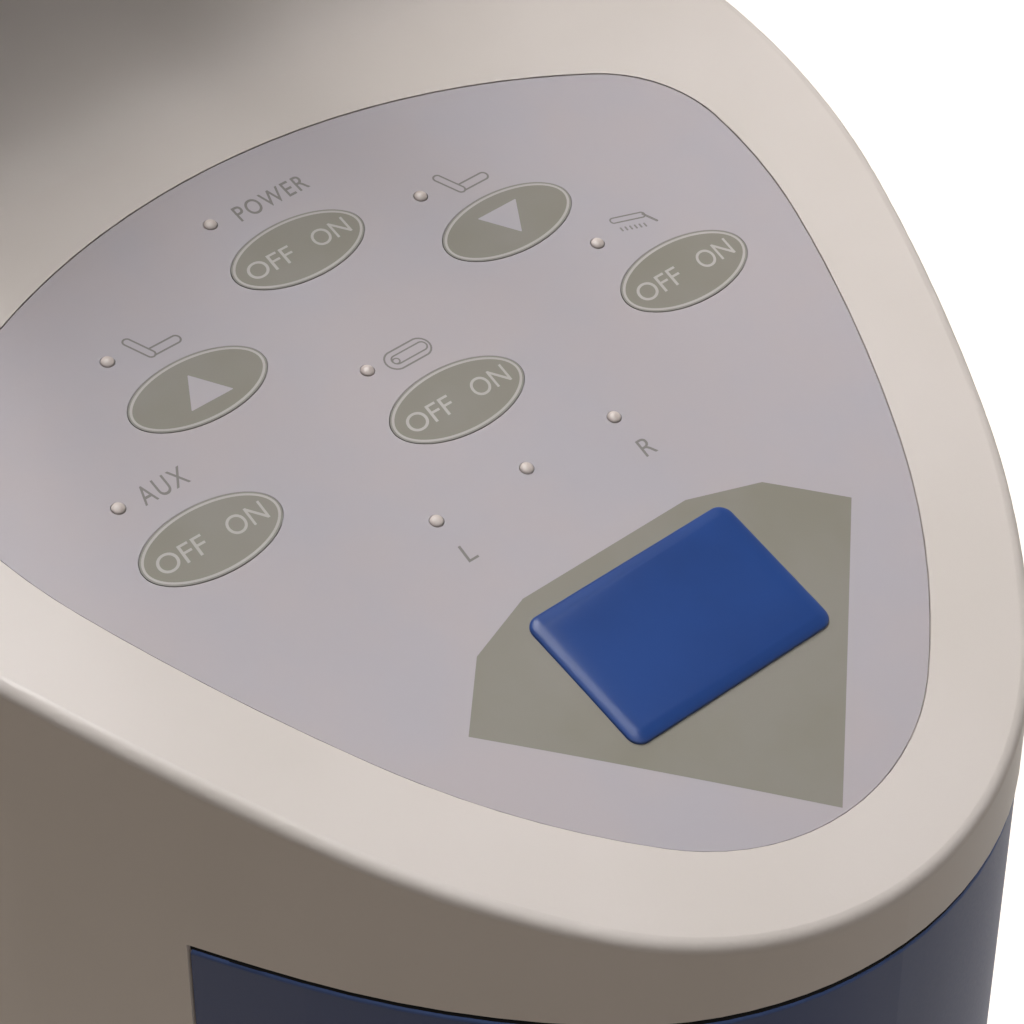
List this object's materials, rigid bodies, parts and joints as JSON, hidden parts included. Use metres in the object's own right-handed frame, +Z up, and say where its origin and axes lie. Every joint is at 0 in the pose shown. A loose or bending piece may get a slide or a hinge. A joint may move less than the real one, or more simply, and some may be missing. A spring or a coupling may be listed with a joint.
{
  "type": "refraction unit",
  "caption": "Floor-standing refraction unit: pedestal with a crowned membrane-key console, column, sliding instrument table, levelled phoropter arm and examination lamp.",
  "frame": {"origin": "on the floor under the column's axis, at the sole of the middle foot", "axes": "+Z up along the column; -Y towards the console's nose, where the operator stands; +X to the operator's right, where the table and lamp reach at rest, with the arm parked ahead of them"},
  "size_m": [1.04, 0.7155, 1.971],
  "materials": {
    "cream_plastic": "satin",
    "blue_plastic": "gloss",
    "grey_film": "matt",
    "olive_key": "matt",
    "lens_plastic": "gloss",
    "badge_resin": "gloss",
    "plain_steel": "satin",
    "chromed_steel": "polished",
    "cast_aluminium": "satin",
    "painted_metal": "satin",
    "black_rubber": "matt",
    "black_plastic": "satin",
    "bronze": "plain",
    "laminate": "satin",
    "circuit_board": "satin",
    "grey_case": "satin",
    "opal_plastic": "satin"
  },
  "bodies": {
    "stand": {"base_plate": "plain_steel", "base_cover": "cream_plastic", "levelling_feet": "black_rubber", "column_socket": "plain_steel", "socket_bolts": "plain_steel", "column_tube": "chromed_steel", "column_trim": "black_rubber", "chassis_frame": "plain_steel", "column_clamp": "cast_aluminium", "power_supply": "grey_case", "control_board": "circuit_board", "panel_brackets": "plain_steel", "cable_gland": "black_plastic", "pedestal_left": "cream_plastic", "pedestal_right": "cream_plastic", "front_panel": "blue_plastic", "console_shell": "cream_plastic", "keypad_carrier": "cast_aluminium", "switch_sheet": "circuit_board", "snap_domes": "plain_steel", "keypad_backer": "cast_aluminium", "keypad_overlay": "grey_film", "indicator_lenses": "lens_plastic", "badge_plate": "badge_resin", "stop_collars": "cast_aluminium"},
    "table_swing": {"table_arm": "painted_metal", "table_bushes": "bronze", "table_saddle": "cast_aluminium"},
    "table_clamp": {"table_lever": "black_plastic"},
    "table_slide": {"table_rails": "plain_steel", "rail_ends": "cast_aluminium", "table_top": "laminate", "table_edge": "black_rubber"},
    "arm_swing": {"phoropter_hub": "painted_metal", "phoropter_bushes": "bronze", "hub_pins": "plain_steel"},
    "arm_clamp": {"hub_knob": "black_plastic"},
    "arm_beam": {"phoropter_beam": "painted_metal", "beam_covers": "painted_metal"},
    "arm_link": {"level_link": "painted_metal"},
    "arm_end": {"end_block": "painted_metal", "end_pins": "plain_steel", "spindle_bush": "bronze"},
    "hanger": {"phoropter_hanger": "plain_steel", "spindle_nut": "plain_steel"},
    "hanger_clamp": {"hanger_knob": "black_plastic"},
    "lamp_swing": {"lamp_hub": "painted_metal", "lamp_tube": "chromed_steel", "lamp_knuckle": "painted_metal"},
    "lamp_head": {"lamp_shade": "painted_metal", "lamp_pin": "plain_steel", "lamp_module": "cast_aluminium", "lamp_diffuser": "opal_plastic"},
    "key_power_body": {"key_power": "olive_key"},
    "key_chair_up_body": {"key_chair_up": "olive_key"},
    "key_chair_down_body": {"key_chair_down": "olive_key"},
    "key_aux_body": {"key_aux": "olive_key"},
    "key_projector_body": {"key_projector": "olive_key"},
    "key_lamp_body": {"key_lamp": "olive_key"}
  },
  "joints": [
    {"name": "table_swing", "type": "hinge", "parent": "stand", "child": "table_swing", "pos_m": [0, 0, 0.9453], "axis": [0, 0, 1], "range_deg": [-110, 110]},
    {"name": "table_slide", "type": "slide", "parent": "table_swing", "child": "table_slide", "axis": [1, 0, 0], "range_m": [-0.08, 0.08]},
    {"name": "table_clamp", "type": "hinge", "parent": "table_swing", "child": "table_clamp", "pos_m": [0, -0.046, 0.9453], "axis": [0, 1, 0], "range_deg": [-40, 40]},
    {"name": "arm_swing", "type": "hinge", "parent": "stand", "child": "arm_swing", "pos_m": [0, 0, 1.4433], "axis": [0, 0, 1], "range_deg": [-110, 110]},
    {"name": "arm_clamp", "type": "hinge", "parent": "arm_swing", "child": "arm_clamp", "pos_m": [-0.03524, 0.02957, 1.4433], "axis": [0.766, -0.6428, 0], "range_deg": [-180, 180]},
    {"name": "arm_tilt", "type": "hinge", "parent": "arm_swing", "child": "arm_beam", "pos_m": [0.07048, -0.05914, 1.456], "axis": [0.6428, 0.766, 0], "range_deg": [-25, 25]},
    {"name": "arm_link", "type": "hinge", "parent": "arm_swing", "child": "arm_link", "pos_m": [0.07048, -0.05914, 1.402], "axis": [0.6428, 0.766, 0], "range_deg": [-25, 25]},
    {"name": "arm_level", "type": "hinge", "parent": "arm_beam", "child": "arm_end", "pos_m": [0.4535, -0.38053, 1.456], "axis": [0.6428, 0.766, 0], "range_deg": [-25, 25]},
    {"name": "hanger_turn", "type": "hinge", "parent": "arm_end", "child": "hanger", "pos_m": [0.4535, -0.38053, 1.344], "axis": [0, 0, 1], "range_deg": [-90, 90]},
    {"name": "hanger_clamp", "type": "hinge", "parent": "arm_end", "child": "hanger_clamp", "pos_m": [0.48108, -0.40367, 1.344], "axis": [0.766, -0.6428, 0], "range_deg": [-180, 180]},
    {"name": "lamp_swing", "type": "hinge", "parent": "stand", "child": "lamp_swing", "pos_m": [0, 0, 1.74], "axis": [0, 0, 1], "range_deg": [-150, 150]},
    {"name": "lamp_tilt", "type": "hinge", "parent": "lamp_swing", "child": "lamp_head", "pos_m": [0.415, 0, 1.956], "axis": [0, 1, 0], "range_deg": [-50, 25]},
    {"name": "press_power", "type": "slide", "parent": "stand", "child": "key_power_body", "axis": [0, 0.1529, -0.9882], "range_m": [0, 0.0004], "stiffness_N_per_m": 600, "springref_m": -0.001},
    {"name": "press_chair_up", "type": "slide", "parent": "stand", "child": "key_chair_up_body", "axis": [0, 0.1748, -0.9846], "range_m": [0, 0.0004], "stiffness_N_per_m": 600, "springref_m": -0.001},
    {"name": "press_chair_down", "type": "slide", "parent": "stand", "child": "key_chair_down_body", "axis": [0, 0.1748, -0.9846], "range_m": [0, 0.0004], "stiffness_N_per_m": 600, "springref_m": -0.001},
    {"name": "press_aux", "type": "slide", "parent": "stand", "child": "key_aux_body", "axis": [0, 0.2115, -0.9774], "range_m": [0, 0.0004], "stiffness_N_per_m": 600, "springref_m": -0.001},
    {"name": "press_projector", "type": "slide", "parent": "stand", "child": "key_projector_body", "axis": [0, 0.2115, -0.9774], "range_m": [0, 0.0004], "stiffness_N_per_m": 600, "springref_m": -0.001},
    {"name": "press_lamp", "type": "slide", "parent": "stand", "child": "key_lamp_body", "axis": [0, 0.2115, -0.9774], "range_m": [0, 0.0004], "stiffness_N_per_m": 600, "springref_m": -0.001}
  ],
  "couplings": [
    {"joint": "arm_link", "follows": "arm_tilt", "ratio": 1},
    {"joint": "arm_level", "follows": "arm_tilt", "ratio": -1}
  ]
}
